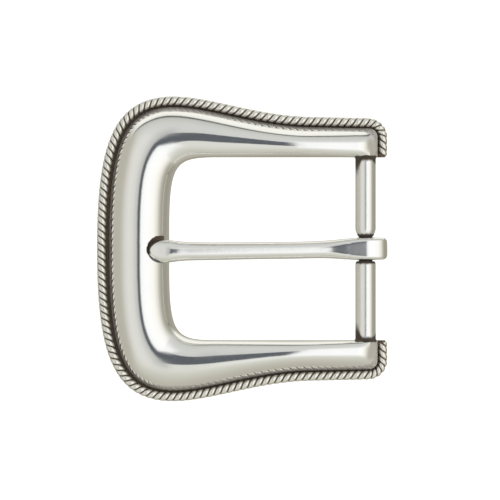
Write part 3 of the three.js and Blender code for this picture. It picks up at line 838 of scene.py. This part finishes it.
def eye_sections():
    """The eye: flat on top as far as the bar's axis, curled round the bar, and round at its end."""
    sections = []
    for share in np.linspace(0.0, 1.0, 28):
        x = HINGE[0] - EYE_BACK * math.cos(math.pi / 2 * share)
        drop = EYE_HEIGHT * math.sqrt(max(0.0, 1 - ((HINGE[0] - x) / EYE_BACK) ** 2))
        half = mix(EYE_START_HALF_WIDTH, EYE_HALF_WIDTH, share)
        rounding = mix(EYE_START_ROUNDING, EYE_TOP_ROUNDING, share)
        sections.append(prong_section(x, half, HINGE[2] + EYE_HEIGHT, HINGE[2] - drop, rounding))
    for share in np.linspace(0.0, EYE_NOSE, 40)[1:]:
        angle = math.pi / 2 * share
        rise = EYE_HEIGHT * math.cos(angle) ** EYE_NOSE_POWER
        x = HINGE[0] + EYE_LENGTH * math.sin(angle)
        into_corner = max(0.0, 1 - (HINGE[0] + EYE_LENGTH - x) / EYE_CORNER_RADIUS)
        corner = EYE_CORNER_RADIUS * (1 - math.sqrt(1 - into_corner ** 2))
        half = mix(EYE_HALF_WIDTH, EYE_END_HALF_WIDTH, share) - corner
        rounding = mix(EYE_TOP_ROUNDING, EYE_END_ROUNDING, share)
        sections.append(prong_section(x, half, HINGE[2] + rise, HINGE[2] - rise, rounding))
    return sections


def turn_on_bar(piece, turn):
    """Turns a piece about the vertical through the middle of the bar."""
    mesh = piece.data
    places = np.empty(len(mesh.vertices) * 3)
    mesh.vertices.foreach_get("co", places)
    places = places.reshape(-1, 3)
    from_bar = places[:, 0] - HINGE[0] * MM
    turned = places.copy()
    turned[:, 0] = HINGE[0] * MM + from_bar * math.cos(turn) - places[:, 1] * math.sin(turn)
    turned[:, 1] = from_bar * math.sin(turn) + places[:, 1] * math.cos(turn)
    mesh.vertices.foreach_set("co", turned.ravel())
    mesh.update()


def build_prong():
    points = np.array(shank_sections() + eye_sections())
    rows, columns = points.shape[:2]
    piece = make_object("prong_polished", points.reshape(-1, 3), loft_faces(rows, columns),
                        "prong", "prong")
    side = NECK_HALF + CUT_OVERLAP
    cut(piece, *round_tool(HINGE[[0, 2]], "Y", EYE_HOLE_RADIUS, -side, side))
    slit_start = HINGE[0] - EYE_BACK - CUT_OVERLAP
    slit_end = HINGE[0] - EYE_HOLE_RADIUS + CURL_SLIT_OVERLAP
    low, high = HINGE[2] - CURL_SLIT / 2, HINGE[2] + CURL_SLIT / 2
    corners = [(x, y, z) for x in (slit_start, slit_end) for y in (-4, 4) for z in (low, high)]
    box_faces = [(0, 1, 3, 2), (4, 6, 7, 5), (0, 4, 5, 1), (2, 3, 7, 6), (0, 2, 6, 4), (1, 5, 7, 3)]
    cut(piece, corners, box_faces)
    turn_on_bar(piece, PRONG_SKEW)
    sharpen(piece, degrees=40)

    def prong_patina(place):
        from_hinge = np.hypot(place[:, 0] - HINGE[0], place[:, 2] - HINGE[2])
        return 1 - smooth_step(EYE_HOLE_RADIUS, EYE_HOLE_RADIUS + HOLE_STAIN, from_hinge)

    paint_patina_and_shade(piece, prong_patina)
    piece.data.materials.append(metal_material(
        "antique_silver_prong", (0.93, 0.925, 0.905), OPEN_STAIN_AND_SHADE,
        roughness=0.09, streak_scale=(0.06, 1, 1), bump_strength=0.35, waviness=0.08))


# --- Floor, light and camera --------------------------------------------------------

def linear(level):
    """Scene brightness that shows as an 8-bit display level."""
    share = level / 255.0
    return share / 12.92 if share <= 0.04045 else ((share + 0.055) / 1.055) ** 2.4


# Colour round the buckle by direction, in degrees from straight up, as display levels. The
# first runs in the plane of X and Z, toward +X when positive; the second in that of Y and Z.
LIGHT_ALONG_X = [
    (-180, 160, 156, 142), (-134, 168, 163, 149), (-119, 184, 179, 165), (-95, 181, 178, 165),
    (-78, 183, 181, 169), (-69, 194, 192, 182), (-55, 212, 211, 203), (-41, 220, 219, 213),
    (-24, 216, 215, 210), (-12, 199, 199, 195), (-5.4, 182, 183, 180), (-4, 92, 96, 100),
    (3.4, 84, 89, 95), (4.8, 243, 244, 241), (9, 249, 250, 248), (19, 255, 255, 254),
    (32, 254, 253, 250), (45, 251, 249, 242), (58, 232, 230, 219), (66, 208, 206, 194),
    (72, 187, 184, 171), (80, 166, 163, 150), (90, 155, 152, 138), (115, 154, 151, 138),
    (134, 165, 162, 149), (180, 160, 156, 142),
]
LIGHT_ALONG_Y = [
    (-180, 145, 140, 127), (-140, 156, 151, 137), (-120, 178, 174, 161), (-105, 183, 180, 167),
    (-92, 188, 186, 173), (-75, 197, 196, 184), (-62, 205, 204, 193), (-50, 212, 212, 203),
    (-40, 216, 216, 208), (-20, 217, 217, 211), (0, 208, 209, 205), (20, 203, 204, 201),
    (40, 207, 208, 204), (60, 205, 206, 201), (75, 197, 198, 192), (83, 186, 187, 181),
    (85.5, 88, 90, 88), (89.5, 84, 85, 83), (91.5, 225, 224, 216), (98, 243, 242, 234),
    (112, 247, 246, 238), (126, 238, 236, 227), (140, 205, 202, 190), (180, 165, 160, 146),
]
# The dark gap overhead runs a little to the right of the Y axis, as seen from above.
GAP_TURN = math.radians(2.5)
# Where the light changes from the first ramp to the second, by the size of a direction's Y
# part: at once at the ends of the gap, gradually past the ends of the softboxes.
GAP_END = (0.31, 0.355)
SOFTBOX_END = (0.36, 0.8)
# The gap's own half width, by the size of a direction's X part.
GAP_SIDE = (0.07, 0.09)
# Of the light hitting it, the plate reflects about this much of each colour.
PLATE_REFLECTANCE = np.array([0.907, 0.902, 0.880])


def level_color(levels):
    return (*(np.array([linear(level) for level in levels]) / PLATE_REFLECTANCE), 1.0)


def direction_ramp(tree, sideways, up, levels):
    """Colour by the angle from straight up toward one horizontal axis."""
    angle = add_node(tree, "ShaderNodeMath", operation="ARCTAN2")
    tree.links.new(sideways, angle.inputs[0])
    tree.links.new(up, angle.inputs[1])
    share = add_node(tree, "ShaderNodeMapRange")
    share.inputs["From Min"].default_value = -math.pi
    share.inputs["From Max"].default_value = math.pi
    tree.links.new(angle.outputs["Value"], share.inputs["Value"])
    ramp = add_node(tree, "ShaderNodeValToRGB")
    stops = ramp.color_ramp.elements
    while len(stops) < len(levels):
        stops.new(0.5)
    for stop, (degrees, *level) in zip(stops, levels):
        stop.position = (degrees + 180) / 360
        stop.color = level_color(level)
    tree.links.new(share.outputs["Result"], ramp.inputs["Fac"])
    return ramp.outputs["Color"]


def range_mask(tree, value, low, high):
    """0 below one value, 1 above another, smooth between them."""
    mask = add_node(tree, "ShaderNodeMapRange", interpolation_type="SMOOTHSTEP")
    mask.inputs["From Min"].default_value = low
    mask.inputs["From Max"].default_value = high
    tree.links.new(value, mask.inputs["Value"])
    return mask.outputs["Result"]


def build_world():
    """A bright softbox toward +X, a dimmer one toward -X, the dark gap between them that the
    camera looks through, and a pale studio and table beyond."""
    world = bpy.data.worlds.new("studio")
    bpy.context.scene.world = world
    world.use_nodes = True
    tree = world.node_tree
    background = tree.nodes["Background"]
    coordinates = add_node(tree, "ShaderNodeTexCoord")
    axes = add_node(tree, "ShaderNodeSeparateXYZ")
    tree.links.new(coordinates.outputs["Generated"], axes.inputs["Vector"])
    turn = add_node(tree, "ShaderNodeVectorRotate", rotation_type="Z_AXIS", Angle=GAP_TURN)
    tree.links.new(coordinates.outputs["Generated"], turn.inputs["Vector"])
    turned = add_node(tree, "ShaderNodeSeparateXYZ")
    tree.links.new(turn.outputs["Vector"], turned.inputs["Vector"])
    along_x = direction_ramp(tree, turned.outputs["X"], turned.outputs["Z"], LIGHT_ALONG_X)
    along_y = direction_ramp(tree, axes.outputs["Y"], axes.outputs["Z"], LIGHT_ALONG_Y)
    sideways = add_node(tree, "ShaderNodeMath", operation="ABSOLUTE")
    tree.links.new(turned.outputs["Y"], sideways.inputs[0])
    from_gap = add_node(tree, "ShaderNodeMath", operation="ABSOLUTE")
    tree.links.new(turned.outputs["X"], from_gap.inputs[0])
    gap_end = range_mask(tree, sideways.outputs["Value"], *GAP_END)
    soft_end = range_mask(tree, sideways.outputs["Value"], *SOFTBOX_END)
    outside = range_mask(tree, from_gap.outputs["Value"], *GAP_SIDE)
    beyond = add_node(tree, "ShaderNodeMix", data_type="FLOAT")
    tree.links.new(outside, beyond.inputs["Factor"])
    tree.links.new(gap_end, beyond.inputs["A"])
    tree.links.new(soft_end, beyond.inputs["B"])
    blend = add_node(tree, "ShaderNodeMix", data_type="RGBA")
    tree.links.new(beyond.outputs["Result"], blend.inputs["Factor"])
    tree.links.new(along_x, blend.inputs["A"])
    tree.links.new(along_y, blend.inputs["B"])
    seen = add_node(tree, "ShaderNodeLightPath")
    backdrop = add_node(tree, "ShaderNodeMix", data_type="RGBA")
    backdrop.inputs["B"].default_value = (1.0, 1.0, 1.0, 1.0)
    tree.links.new(seen.outputs["Is Camera Ray"], backdrop.inputs["Factor"])
    tree.links.new(blend.outputs["Result"], backdrop.inputs["A"])
    tree.links.new(backdrop.outputs["Result"], background.inputs["Color"])


FLOOR_HALF = 0.8          # metres, like all lengths in this last part
FLOOR_DROP = 0.00002
LENS = 200.0              # millimetres
VIEW_CENTRE = (0.00172, -0.00026)
VIEW_WIDTH = 0.1087
FOCUS_HEIGHT = 0.003


def build_floor():
    """A plain white table top, a hair below the buckle's back plane."""
    mesh = bpy.data.meshes.new("floor")
    corners = [(x, y, -FLOOR_DROP) for x, y in ((-FLOOR_HALF, -FLOOR_HALF), (FLOOR_HALF, -FLOOR_HALF),
                                                (FLOOR_HALF, FLOOR_HALF), (-FLOOR_HALF, FLOOR_HALF))]
    mesh.from_pydata(corners, [], [(0, 1, 2, 3)])
    floor = bpy.data.objects.new("floor", mesh)
    bpy.context.scene.collection.objects.link(floor)
    floor.visible_glossy = False
    material = bpy.data.materials.new("white_table")
    material.use_nodes = True
    shader = material.node_tree.nodes["Principled BSDF"]
    shader.inputs["Base Color"].default_value = (0.7, 0.71, 0.73, 1.0)
    shader.inputs["Roughness"].default_value = 0.9
    shader.inputs["Emission Color"].default_value = (1.0, 1.0, 1.0, 1.0)
    shader.inputs["Emission Strength"].default_value = 0.8
    mesh.materials.append(material)


def build_camera():
    """Straight above the buckle, with a long lens."""
    data = bpy.data.cameras.new("camera")
    data.lens = LENS
    data.clip_start = 0.01
    data.clip_end = 10.0
    distance = VIEW_WIDTH * data.lens / data.sensor_width
    camera = bpy.data.objects.new("camera", data)
    camera.location = (*VIEW_CENTRE, FOCUS_HEIGHT + distance)
    bpy.context.scene.collection.objects.link(camera)
    bpy.context.scene.camera = camera


build_camera()
build_world()
build_floor()
bpy.context.scene.view_settings.view_transform = "Standard"
build_frame()
build_rope()
build_bar()
build_prong()
